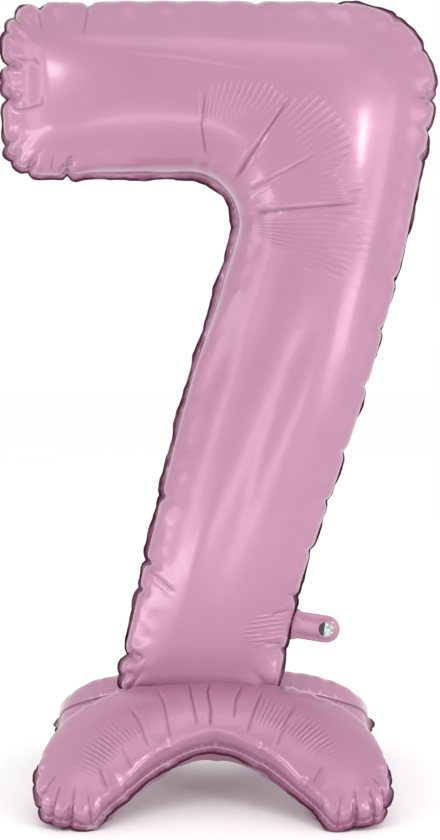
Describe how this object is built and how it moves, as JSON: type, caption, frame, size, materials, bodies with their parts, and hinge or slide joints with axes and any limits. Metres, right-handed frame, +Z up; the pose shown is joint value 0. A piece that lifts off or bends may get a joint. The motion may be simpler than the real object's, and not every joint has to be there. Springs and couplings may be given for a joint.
{
  "type": "foil number balloon",
  "caption": "Self-standing foil balloon shaped like the digit seven, on two inflated arch feet, with a flat inflation neck and filling hole.",
  "frame": {"origin": "on the floor under the middle of the balloon", "axes": "+Z up, +X to the right seen from the front, the front faces -Y"},
  "size_m": [0.4081, 0.2704, 0.74],
  "materials": {
    "pink_foil": "satin metallised film",
    "valve_film": "thin grey-clear film"
  },
  "bodies": {
    "number": {"number_front_film": "pink_foil", "number_back_film": "pink_foil", "valve_tail_front_ply": "valve_film", "valve_tail_back_ply": "valve_film"},
    "inflation_neck": {"neck_front_film": "pink_foil", "neck_back_film": "pink_foil", "valve_neck_front_ply": "valve_film", "valve_neck_back_ply": "valve_film"},
    "front_foot": {"front_foot_outer_film": "pink_foil", "front_foot_inner_film": "pink_foil"},
    "rear_foot": {"rear_foot_outer_film": "pink_foil", "rear_foot_inner_film": "pink_foil"}
  },
  "joints": [
    {"name": "front_foot_fold", "type": "hinge", "parent": "number", "child": "front_foot", "pos_m": [-0.006, -0.0017, 0.09664], "axis": [-1, 0, 0], "range_deg": [-4, 12], "stiffness_Nm_per_rad": 2},
    {"name": "rear_foot_fold", "type": "hinge", "parent": "number", "child": "rear_foot", "pos_m": [-0.006, 0.0017, 0.09664], "axis": [1, 0, 0], "range_deg": [-4, 12], "stiffness_Nm_per_rad": 2},
    {"name": "neck_fold", "type": "hinge", "parent": "number", "child": "inflation_neck", "pos_m": [0.07158, 0, 0.15599], "axis": [0.2351, 0, 0.972], "range_deg": [-65, 65], "stiffness_Nm_per_rad": 0.0003}
  ]
}
